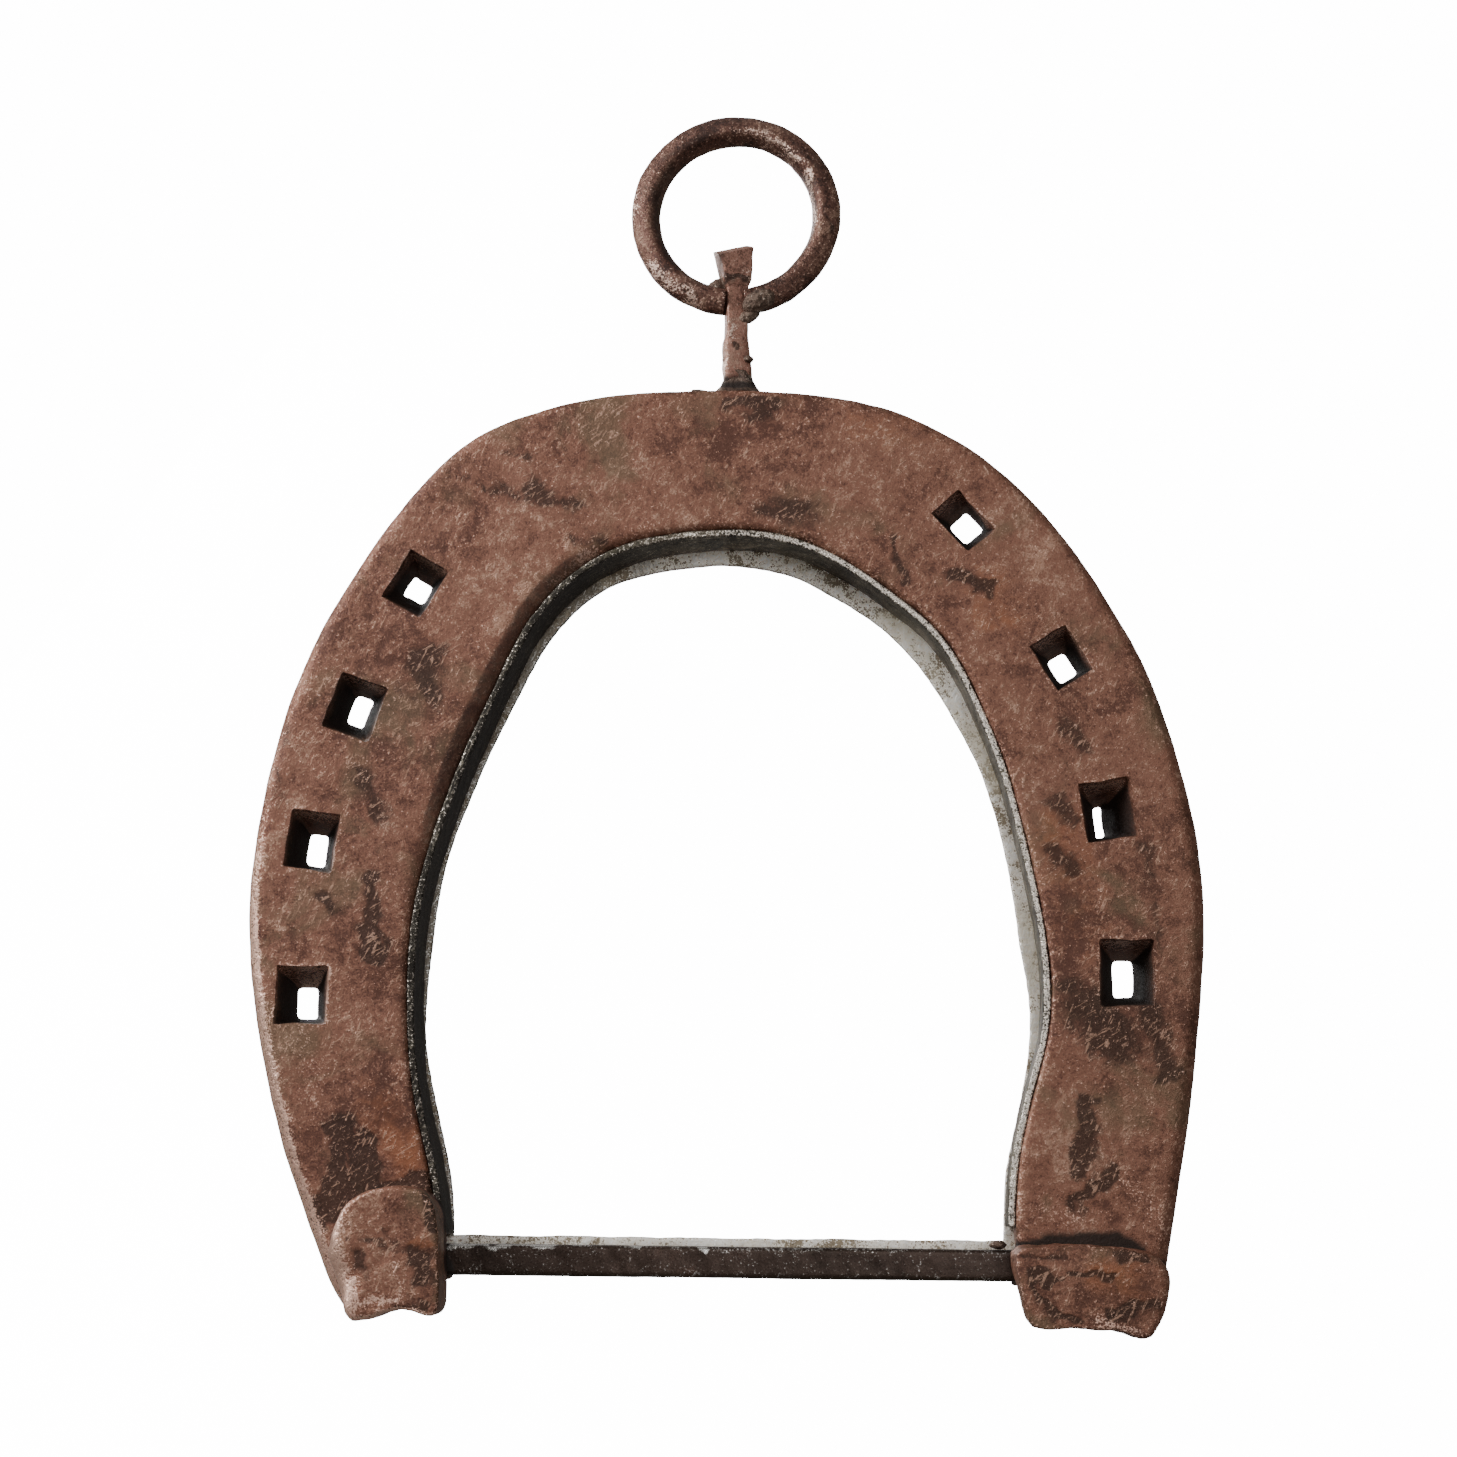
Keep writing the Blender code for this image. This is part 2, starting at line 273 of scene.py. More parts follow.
class Wire:
    # an output socket; arithmetic on it adds Math nodes to its material
    def __init__(self, bench, socket):
        self.bench = bench
        self.socket = socket

    def math(self, operation, *values):
        # one Math node on values and sockets
        return self.bench.add("ShaderNodeMath", {"operation": operation}, dict(enumerate(values)))

    def __add__(self, other):
        return self.math("ADD", self, other)

    def __radd__(self, other):
        return self.math("ADD", other, self)

    def __sub__(self, other):
        return self.math("SUBTRACT", self, other)

    def __rsub__(self, other):
        return self.math("SUBTRACT", other, self)

    def __mul__(self, other):
        return self.math("MULTIPLY", self, other)

    def rise(self, low, high):
        # 0 below low, 1 above high, with a smooth step between
        return self.bench.add("ShaderNodeMapRange", {"interpolation_type": "SMOOTHSTEP"},
                              {"Value": self, "From Min": low, "From Max": high})

    def most(self, other):
        # the larger of the two at each point
        return self.math("MAXIMUM", self, other)


class Bench:
    # a new material and the one way to add a node to it
    def __init__(self, name):
        self.material = bpy.data.materials.new(name)
        self.material.use_nodes = True
        self.tree = self.material.node_tree
        self.tree.nodes.clear()

    def add(self, kind, settings=None, inputs=None, out=0):
        # a node with its settings made first, then its sockets linked or given values
        node = self.tree.nodes.new(kind)
        for name, value in (settings or {}).items():
            setattr(node, name, value)
        for name, value in (inputs or {}).items():
            if isinstance(value, Wire):
                self.tree.links.new(value.socket, node.inputs[name])
            else:
                node.inputs[name].default_value = value
        return Wire(self, node.outputs[out]) if node.outputs else None

    def mark(self, name):
        # a painted mark's value
        return self.add("ShaderNodeAttribute", {"attribute_name": name}, out="Fac")

    def place(self, scale, turn=(0, 0, 0)):
        # object coordinates in units of 1 / scale mm, turned first
        turned = self.add("ShaderNodeTexCoord", out="Object")
        if any(turn):
            turned = self.add("ShaderNodeMapping", {"vector_type": "TEXTURE"},
                              {"Vector": turned, "Rotation": [math.radians(angle) for angle in turn]})
        size = scale if isinstance(scale, tuple) else (scale,) * 3
        return self.add("ShaderNodeMapping", None,
                        {"Vector": turned, "Scale": [part / metre for part in size]})

    def noise(self, scale, detail=4, rough=0.55, turn=(0, 0, 0), twist=0.0):
        # values about 0.5, in patches about 1 / scale mm wide
        return self.add("ShaderNodeTexNoise", None,
                        {"Vector": self.place(scale, turn), "Scale": 1.0, "Detail": detail,
                         "Roughness": rough, "Distortion": twist})

    def mix(self, factor, under, over):
        # the colour under at factor 0, over at 1
        return self.add("ShaderNodeMix", {"data_type": "RGBA"}, {0: factor, 6: under, 7: over}, 2)

    def shade(self, links, settings):
        # the surface itself: what changes over it, then what is the same all over
        surface = self.add("ShaderNodeBsdfPrincipled", None, {**links, **settings})
        self.add("ShaderNodeOutputMaterial", {}, {"Surface": surface})


def colour(red, green, blue):
    # an opaque colour in linear light
    return (red, green, blue, 1.0)


# near-black of the painted shade, with some soot
shadeAndSootColour = colour(0.013, 0.007, 0.005)

# What differs between the metals. Colours are the skin, its darker and lighter mottling, dark
# scale, rust and bare metal, whose colour also paints the highlights and glints; the rest says how
# much of each there is, and how rough it is.
finishes = {
    "forgedIron": dict(
        skin=colour(0.250, 0.113, 0.074), deep=colour(0.115, 0.049, 0.033),
        pale=colour(0.430, 0.250, 0.175), scale=colour(0.040, 0.020, 0.014),
        rust=colour(0.320, 0.115, 0.052), bareAndHighlight=colour(0.86, 0.55, 0.43),
        film=colour(0.160, 0.112, 0.066), filmed=0.6, mottle=1.1, stainAll=0.62, scratch=0.9,
        edgeWear=0.7, glints=0.8, roughness=0.46, metallic=0.45, bump=0.5),
    "ringIron": dict(
        skin=colour(0.140, 0.066, 0.048), deep=colour(0.052, 0.026, 0.020),
        pale=colour(0.330, 0.195, 0.140), scale=colour(0.030, 0.016, 0.013),
        rust=colour(0.260, 0.100, 0.055), bareAndHighlight=colour(0.84, 0.60, 0.49),
        film=colour(0.110, 0.072, 0.048), filmed=0.4, mottle=1.5, stainAll=0.50, scratch=0.6,
        edgeWear=0.3, glints=1.0, roughness=0.42, metallic=0.5, bump=0.6),
    "nailIron": dict(
        skin=colour(0.370, 0.185, 0.136), deep=colour(0.150, 0.072, 0.052),
        pale=colour(0.450, 0.280, 0.210), scale=colour(0.030, 0.017, 0.013),
        rust=colour(0.330, 0.130, 0.075), bareAndHighlight=colour(0.88, 0.66, 0.55),
        film=colour(0.170, 0.120, 0.085), filmed=0.4, mottle=1.2, stainAll=0.42, scratch=0.4,
        edgeWear=0.3, glints=0.9, roughness=0.45, metallic=0.45, bump=0.6),
    "weldMetal": dict(
        skin=colour(0.150, 0.098, 0.073), deep=colour(0.058, 0.037, 0.028),
        pale=colour(0.320, 0.240, 0.185), scale=colour(0.022, 0.015, 0.012),
        rust=colour(0.240, 0.110, 0.065), bareAndHighlight=colour(0.68, 0.58, 0.49),
        film=colour(0.120, 0.103, 0.076), filmed=0.7, mottle=1.4, stainAll=0.45, scratch=0.2,
        edgeWear=0.3, glints=0.7, roughness=0.5, metallic=0.45, bump=0.9),
    "bandSteel": dict(
        skin=colour(0.130, 0.108, 0.080), deep=colour(0.040, 0.033, 0.024),
        pale=colour(0.320, 0.280, 0.215), scale=colour(0.014, 0.011, 0.009),
        rust=colour(0.190, 0.105, 0.060), bareAndHighlight=colour(0.93, 0.84, 0.74),
        film=colour(0.160, 0.142, 0.098), filmed=0.6, mottle=2.0, stainAll=0.60, scratch=0.4,
        edgeWear=0.35, glints=1.0, roughness=0.38, metallic=0.55, bump=0.5),
    # painted light: the skin is near-white, lighter than the rim's own cream, standing in for light
    # bounced onto the shaded rim
    "rimSteel": dict(
        skin=colour(0.950, 0.880, 0.770), deep=colour(0.280, 0.225, 0.155),
        pale=colour(0.970, 0.940, 0.880), scale=colour(0.120, 0.092, 0.060),
        rust=colour(0.480, 0.350, 0.210), bareAndHighlight=colour(0.97, 0.94, 0.90),
        film=colour(0.740, 0.660, 0.500), filmed=0.5, mottle=2.2, stainAll=0.55, scratch=0.5,
        edgeWear=0.6, glints=1.0, roughness=0.40, metallic=0.35, bump=0.4),
    "barSteel": dict(
        skin=colour(0.052, 0.033, 0.025), deep=colour(0.032, 0.020, 0.015),
        pale=colour(0.080, 0.053, 0.042), scale=colour(0.014, 0.010, 0.008),
        rust=colour(0.110, 0.050, 0.030), bareAndHighlight=colour(0.95, 0.92, 0.88),
        film=colour(0.055, 0.038, 0.030), filmed=0.4, mottle=0.7, stainAll=0.15, scratch=0.1,
        edgeWear=0.2, glints=0.15, roughness=0.32, metallic=0.6, bump=0.12),
}


def metalFinish(name):
    # Four sizes of noise added together move the skin's colour from deep to pale. Dark scale lies
    # where the stain mark, creases and the patchy noises add up, and rust and a thin film in the
    # same way. Bundles of scratches tear at its outline. Bare metal is rubbed out of convex edges, and
    # the marks of wear and painted highlight add bare metal colour both as wear and as painted
    # highlights, with painted glints of fine noise. Last comes painted shade, with some soot.
    look = finishes[name]
    bench = Bench(name)
    broad = bench.noise(0.045, 3)
    patch = bench.noise(0.22, 5, 0.62, twist=0.6)
    speck = bench.noise(1.3, 4, 0.65)
    grain = bench.noise(3.4, 3, 0.6)
    fibre = bench.noise((2.8, 2.8, 0.35), 2, 0.5, turn=(0, 24, 0))
    fibre = fibre.most(bench.noise((0.35, 2.8, 2.8), 2, 0.5, turn=(0, -31, 0)))
    hairs = bench.noise((2.2, 2.2, 0.4), 2, 0.5, turn=(0, -18, 0))
    hairs = hairs.most(bench.noise((2.2, 2.2, 0.4), 2, 0.5, turn=(0, 52, 0)))

    # mottled skin under a thin film
    spread = look["mottle"]
    tone = (broad - 0.5) * 1.8 + (patch - 0.5) * (2.0 * spread) + (speck - 0.5) * (1.4 * spread)
    tone = tone + (grain - 0.5) * (1.4 * spread)
    body = bench.mix((0.0 - tone).rise(0.0, 0.60), look["skin"], look["deep"])
    body = bench.mix(tone.rise(0.05, 0.75), body, look["pale"])
    film = bench.noise(0.07, 4, 0.6, twist=0.4)
    body = bench.mix(film.rise(0.50, 0.66) * look["filmed"], body, look["film"])

    # rust and dark scale
    rusty = (bench.mark("orange") * 0.8 + patch * 1.2 + broad * 0.8 - 1.0).rise(0.15, 0.75)
    body = bench.mix(rusty * 0.7, body, look["rust"])

    dark = bench.mark("stain") * 2.1 + bench.mark("crease") * 0.7 + patch * 2.2 + hairs * 0.9
    dark = (dark + speck * 0.8 - (2.95 - look["stainAll"])).rise(0.0, 0.80)
    body = bench.mix(dark * 0.85, body, look["scale"])

    # bundles of fine scratches
    threads = (fibre + (speck - 0.5) * 0.5).rise(0.60, 0.70) * (patch + dark * 0.1).rise(0.42, 0.60)
    body = bench.mix(threads * look["scratch"], body, look["pale"])

    # bare metal from wear, painted highlights and painted glints
    wearAndLightMarks = bench.mark("edge") * look["edgeWear"] + bench.mark("wearAndHighlight")
    # rubbed edges and spots, and painted highlights where the marks stand for light
    rubbedAndLit = (wearAndLightMarks + (speck - 0.5) * 1.8 + (grain - 0.5) * 3.0 + (patch - 0.5)).rise(0.40, 1.20)
    body = bench.mix(rubbedAndLit * 0.60, body, look["bareAndHighlight"])
    # painted glints: tiny bright specks in bare metal colour that stand for glints of light
    glint = (wearAndLightMarks * 0.22 + grain * 0.9 + speck * 0.5).rise(0.83, 0.92)
    body = bench.mix(glint * (0.85 * look["glints"]), body, look["bareAndHighlight"])

    # painted shade, with some soot: near-black wherever that mark is set
    shadeAndSoot = (bench.mark("shadeAndSoot") * 1.25 + (speck - 0.5) * 0.8).rise(0.1, 0.9)
    body = bench.mix(shadeAndSoot * 0.95, body, shadeAndSootColour)

    wearAndHighlight = rubbedAndLit.most(glint)
    rough = look["roughness"] + (grain - 0.5) * 0.5 + dark * 0.05 + shadeAndSoot * 0.25 - wearAndHighlight * 0.12
    height = patch * 0.8 + speck * 0.9 + grain * 0.6 - dark * 0.3 + threads * 0.2
    normal = bench.add("ShaderNodeBump", None,
                       {"Strength": look["bump"], "Distance": 0.35 * metre, "Height": height})
    bench.shade({"Base Color": body, "Roughness": rough, "Normal": normal,
                 "Metallic": (look["metallic"] + wearAndHighlight * 0.3) * (1.0 - shadeAndSoot * 0.9)},
                {"Specular IOR Level": 0.35})
    return bench.material


materials = {name: metalFinish(name) for name in finishes}
print("materials made:", len(materials))


shoe = dict(
    stations=600,                    # places along the branches, left heel to right heel
    front=-5.0, back=5.0,            # faces in mm
    outerReach=(-138.9, 137.1),      # angles of the two heel corners seen from the opening's middle
    innerReach=(-145.8, 144.7),
    rays=150,
    blur=2.2,                        # mm over which the traced edges are rounded
    # shares of the way from the left heel to the right one, and the bevel's width there in mm
    innerBevel=((0, 0.12, 0.2, 0.3, 0.40, 0.46, 0.6, 0.85, 1),
                (0.8, 0.8, 1.3, 2.6, 2.4, 1.0, 0.9, 0.7, 0.7)),
    outerBevel=((0, 0.10, 0.22, 0.4, 0.5, 0.65, 0.9, 1),
                (2.0, 2.2, 1.6, 1.1, 0.9, 1.5, 2.1, 1.6)),
    backCorner=1.0,
    runs=(9, 5, 38, 5, 8, 3, 18, 1),     # points along each side of the section
    ends=(0.8, 14),                  # radius in mm of the rounded ends, and rows on them
    sharp=42,                        # degrees of turn from which an edge is shaded sharp
    hammering=((22, 0.16, 1), (8, 0.11, 2), (3.0, 0.05, 3)),     # size, depth and seed of unevenness
)

bandLow, bandHigh = boxOf("inner_band")
opening = np.array([(bandLow[0] + bandHigh[0]) / 2, (bandLow[2] + bandHigh[2]) / 2])


def hammered(rows, layers):
    # every layer moves the surface in and out by about half its depth
    return pushed(rows, sum(0.5 * depth * lumps(rows, size, seed) for size, depth, seed in layers))


def branchEdges():
    # outer and inner edge of the shoe as evenly spaced (x, z) points, left heel to right heel
    edges = []
    for reach, outside in ((shoe["outerReach"], True), (shoe["innerReach"], False)):
        rays = np.linspace(*reach, shoe["rays"])
        found = trace("horseshoe", opening, rays, 0.0, outside)
        edges.append(evenPath(found, shoe["stations"], shoe["blur"]))
    return edges


def shoeBody():
    # The section at each station is an eight-cornered outline between the inner and outer edge:
    # inner wall, inner bevel, front face, outer bevel, outer side, back corner and back face.
    outer, inner = branchEdges()
    along = np.linspace(0, 1, shoe["stations"])
    width = np.linalg.norm(outer - inner, axis=1)
    innerBevel = np.interp(along, *shoe["innerBevel"])
    outerBevel = np.interp(along, *shoe["outerBevel"])
    near, far, corner = shoe["front"], shoe["back"], shoe["backCorner"]
    corners = [(0, far - 0.4), (0, near + 0.3 + 0.5 * innerBevel), (innerBevel, near),
               (width - outerBevel, near), (width, near + 0.75 * outerBevel),
               (width, far - corner), (width - corner, far), (0.4, far)]
    corners = [np.stack(np.broadcast_arrays(s, y, width)[:2], axis=-1) for s, y in corners]
    section = sectionPoints(corners, shoe["runs"], 3).transpose(1, 0, 2)
    across = unit(outer - inner)[:, None, :]
    flat = inner[:, None, :] + across * section[..., :1]
    rows = np.stack([flat[..., 0], section[..., 1], flat[..., 1]], axis=-1)
    return hammered(roundEnds(rows[2:-2], *shoe["ends"]), shoe["hammering"])


heels = dict(
    depth=-9.0,                      # where the fold's outline is read
    root=-4.0,                       # how deep the fold starts inside the shoe
    around=150,
    # The middle of each fold, its general bevel and how often its outline is rounded; then wider
    # bevels as (angle from up, spread in degrees, width in mm), and the angle and spread over
    # which the fold reaches out to the shoe's own edge
    left=dict(middle=(-53.0, -183.0), bevel=0.7, rounding=1,
              wide=((-108, 34, 3.4), (-40, 30, 0.5)), flush=None),
    right=dict(middle=(53.5, -187.5), bevel=0.55, rounding=0,
               wide=((60, 45, 1.4), (110, 25, 0.6)), flush=(100, 26)),
    hammering=((14, 0.4, 11), (5, 0.25, 12), (2.2, 0.10, 13)),
)


def near(angles, angle, spread):
    # a bell-shaped weight that is 1 at the angle and falls off over spread, all in degrees
    return np.exp(-(((angles - angle + 180) % 360 - 180) / spread) ** 2)


def heelFold(side):
    # The fold's outline is carried forwards from inside the shoe, drawn in over a rounded bevel
    # whose width changes with the angle, and closed by rows that shrink to the face's middle
    look = heels[side]
    middle = np.array(look["middle"])
    angles = np.arange(heels["around"]) * 360 / heels["around"] - 180
    outline = trace("horseshoe", middle, angles, heels["depth"])
    edge = trace("horseshoe", middle, angles, 0.0)
    flush = near(angles, *look["flush"])[:, None] if look["flush"] else 0
    reach = outline - middle + (edge - outline) * flush
    for _ in range(look["rounding"]):
        reach = (np.roll(reach, 1, axis=0) + 2 * reach + np.roll(reach, -1, axis=0)) / 4
    bevel = look["bevel"] + sum(width * near(angles, *place) for *place, width in look["wide"])
    nearest = boxOf("horseshoe")[0][1]
    size = np.linalg.norm(reach, axis=1)
    turn = np.linspace(0, math.pi / 2, 9)[:, None]
    face = np.linspace(1, 0, 26)[1:-1, None]
    walls = np.linspace(0, 1, 12)[:-1, None]
    bevelDepth = 0.8 * bevel
    depths = np.vstack([heels["root"] + (nearest + bevelDepth - heels["root"]) * walls,
                        nearest + bevelDepth * (1 - np.sin(turn)),
                        np.full((len(face), len(bevel)), nearest)])
    scales = np.vstack([np.ones((len(walls), len(size))),
                        1 - bevel * (1 - np.cos(turn)) / size,
                        face * (1 - bevel / size)])
    flat = middle + reach * scales[..., None]
    rows = np.stack([flat[..., 0], depths, flat[..., 1]], axis=-1)
    layers = [(lump, depth, seed + (side == "left")) for lump, depth, seed in heels["hammering"]]
    return hammered(rows, layers)


holes = dict(
    around=76,
    reach=6.8,                       # mm from a hole's line within which a wall belongs to it
    past=0.7,                        # mm that a cutter runs past each face
    readAt=4.0,                      # mm before and behind the shoe's middle where walls are read
    rows=13,
    rounding=(0, 6),                 # how often the outline is rounded at the front and the back
    # a point inside each hole at every depth, and the width of its small end against the frame's
    places={"left1": (-53.1, -75.3, 1.02), "left2": (-62.4, -95.7, 1.02),
            "left3": (-68.7, -118.7, 0.88), "left4": (-69.5, -143.6, 0.90),
            "right1": (37.7, -66.1, 1.02), "right2": (52.8, -89.8, 1.0),
            "right3": (57.9, -115.3, 0.70), "right4": (61.1, -140.4, 0.90)},
    hammering=((4.0, 0.12, 31), (1.6, 0.03, 32)),
)


def holeCutter(x, z, narrower):
    # The hole's walls are read near both faces and carried on in straight lines: the reach at a
    # depth is the front's times (1 - share) plus the back's times share
    angles = np.arange(holes["around"]) * 360 / holes["around"]
    ends = []
    for depth, rounding in zip((-holes["readAt"], holes["readAt"]), holes["rounding"]):
        reach = trace("horseshoe", (x, z), angles, depth) - (x, z)
        for _ in range(rounding):
            reach = (np.roll(reach, 1, axis=0) + 2 * reach + np.roll(reach, -1, axis=0)) / 4
        ends.append(reach)
    ends[1] = ends[1] * (narrower, 1)
    depths = np.linspace(shoe["front"] - holes["past"], shoe["back"] + holes["past"], holes["rows"])
    share = ((depths / holes["readAt"] + 1) / 2)[:, None, None]
    reach = ends[0] * (1 - share) + ends[1] * share
    rows = np.stack([x + reach[..., 0], np.broadcast_to(depths[:, None], reach.shape[:2]),
                     z + reach[..., 1]], axis=-1)
    # the dents fade to half towards the back
    dents = sum(depth * lumps(rows, size, seed) for size, depth, seed in holes["hammering"])
    return pushed(rows, dents * np.linspace(1, 0.5, holes["rows"])[:, None])


def joined(name, shells):
    # several closed shells in one mesh
    pieces = [shell(name + str(number), rows) for number, rows in enumerate(shells)]
    with bpy.context.temp_override(active_object=pieces[0], selected_editable_objects=pieces):
        bpy.ops.object.join()
    return pieces[0]


def applied(piece):
    # the piece's mesh with its modifiers worked out
    mesh = bpy.data.meshes.new_from_object(piece.evaluated_get(bpy.context.evaluated_depsgraph_get()))
    piece.modifiers.clear()
    piece.data = mesh


def makeHorseshoe():
    # the forging with both folds added and the eight holes cut out of it
    body = shell("shoeForging", shoeBody())
    folds = joined("heelFolds", [heelFold("left"), heelFold("right")])
    cutters = joined("holeCutters", [holeCutter(*place) for place in holes["places"].values()])
    for tool, operation in ((folds, "UNION"), (cutters, "DIFFERENCE")):
        step = body.modifiers.new(operation, "BOOLEAN")
        step.operation = operation
        step.solver = "EXACT"
        step.object = tool
    applied(body)
    for tool in (folds, cutters):
        bpy.data.objects.remove(tool, do_unlink=True)
    smooth(body.data, shoe["sharp"])
    return body


# Marks in mm: (x, z, x, z, width, strength). The first set lies on the shoe, the second on the
# two folded heels that stand in front of it.
shoeMarks = dict(
    stain=(
        (-33, -61, -27, -64, 2.6, 0.6), (-39, -60, -36, -62, 1.8, 0.5), (-25, -69, -22, -70, 1.8, 0.5),
        (-50, -89, -49, -95, 3.4, 0.6), (5, -65, 11, -66, 2.8, 0.55), (0, -47, 6, -48.5, 2.0, 0.6),
        (26, -70, 26.5, -78, 0.8, 0.6), (35, -76, 41, -79, 1.4, 0.7), (-60, -109, -57, -114, 2.4, 0.55),
        (-58, -125, -57, -131, 1.9, 0.6), (-57.5, -133, -57, -137, 2.2, 0.75),
        (-65, -127, -63, -130, 1.6, 0.5), (53, -101, 55, -105, 2.2, 0.5), (50, -113, 53, -116, 1.8, 0.5),
        (50, -121, 53, -124, 2.4, 0.6), (54, -146, 60, -152, 4.6, 0.6), (52, -142, 56, -145, 3.0, 0.5),
        (64, -146, 67, -156, 2.4, 0.55), (54.5, -160, 53.5, -170, 1.8, 0.85),
        (58, -171, 52, -176, 1.4, 0.85), (-47, -56, -40, -61, 0.7, 0.5), (-38, -55, -33, -56, 0.7, 0.5),
        (-61.5, -163, -62, -176, 2.4, 0.9), (-66.5, -178, -60, -172, 2.4, 1.0),
        (-57.5, -166, -56, -174, 1.9, 1.0), (-49, -171, -46.5, -178, 1.8, 0.9),
        (-55, -173, -46, -172, 1.4, 0.7),
        (64.5, -120, 66, -136, 1.6, 0.4), (-72, -100, -73, -112, 1.2, 0.35)),
    # wear on the toe's inner edge, and painted highlight along the left outer edge, lit from the left
    wearAndHighlight=(
        (-72, -171, -60, -192, 2.0, 1.4), (-77, -140, -72, -168, 1.9, 1.3),
        (-77.5, -118, -77, -138, 1.4, 1.0), (-74, -100, -77.5, -118, 1.0, 0.6),
        (-30, -76, -22, -71.6, 0.7, 0.6), (-16, -70.4, 12, -70.6, 0.9, 0.6),
        (-68, -150, -66, -160, 2.2, 0.25),
        (60, -172, 66, -180, 1.6, 0.35), (47, -176, 52, -178, 1.6, 0.35)),
    orange=(
        (-56, -160, -50, -168, 5, 0.8), (52, -118, 54, -135, 6, 0.6), (44, -84, 40, -78, 5, 0.5),
        (30, -50, 20, -49, 6, 0.4)),
    # painted shadow, with some soot, where the folds and the bar's left end meet the shoe
    shadeAndSoot=(
        (42.5, -182.0, 48, -181.2, 0.8, 0.8), (48, -181.2, 58, -181.0, 1.5, 1.0),
        (58, -181.2, 61.5, -182.6, 1.2, 1.0), (61.5, -182.6, 66, -185.6, 0.9, 1.0),
        (-61.8, -181, -59.4, -175.8, 0.9, 0.8),
        (-59.4, -175.8, -55, -173, 0.6, 0.5), (-45.6, -173, -44.9, -185, 1.0, 0.9)),
)
foldMarks = dict(
    stain=(
        (-57.4, -183.9, -55.8, -184.4, 1.4, 0.6), (-48, -182.4, -46.3, -186, 2.0, 0.8),
        (-58, -181, -50, -182.2, 0.9, 0.4), (-53, -179.6, -50, -182.6, 1.0, 0.4),
        (-47, -174.4, -45.2, -178, 1.2, 0.7), (-51, -191, -46, -190.6, 0.8, 0.6),
        (44.4, -186.1, 48, -186.7, 0.8, 0.7), (50, -185.8, 55.5, -186.3, 0.8, 0.7),
        (45, -186.6, 45.6, -189.6, 0.9, 0.6), (45.6, -189.6, 48, -191.5, 0.9, 0.7),
        (48, -191.5, 51.6, -192.7, 1.0, 0.8), (56, -191.7, 63.4, -190.2, 1.2, 0.7),
        (57.6, -183.0, 60, -183.5, 1.0, 0.7), (42.4, -183.4, 50, -182.4, 0.8, 0.5)),
    # painted highlight on the left fold's left facet and lower edges, with some wear
    wearAndHighlight=(
        (-61.5, -182, -58.2, -190.5, 1.7, 1.3), (-59, -178.5, -61, -182, 1.0, 0.7),
        (-57.5, -190.4, -50.5, -189.6, 0.8, 1.0), (-58, -187, -57.2, -190, 1.1, 1.3),
        (-51.6, -184.4, -50, -188.4, 0.4, 0.7), (-60.5, -190, -57, -193.5, 1.6, 1.1),
        (-56, -192.6, -47, -191.4, 0.6, 1.0), (-64, -184, -59, -193, 1.0, 1.0),
        (54, -192.6, 60, -193.8, 0.8, 0.7)),
    orange=((-48.5, -180.6, -46.6, -181.6, 1.8, 0.9), (55, -186, 60, -188, 4, 0.8)),
)


shoeShadeAndHighlight = dict(                     # pairs in mm are where something starts and where it is full
    fades=(1, -3),                   # depths between which the face's marks come in
    folds=(-5.6, -6.6),              # depths between which the folds' own marks take over
    upperLeft=dict(height=(-132, -112), side=(-18, -26), reach=75, shadeAndSoot=0.42),
    lowerLeft=dict(height=(-108, -133), side=(0, -20), wearAndHighlight=1.0),
    # the painted shade in a hole near the face and deep down, how much of it upper walls lack, and their
    # painted reflection
    hole=dict(wall=(-4.7, -4.0), depth=(-5, 1), shadeAndSoot=(0.45, 0.95), spared=0.8, wearAndHighlight=1.2),
)


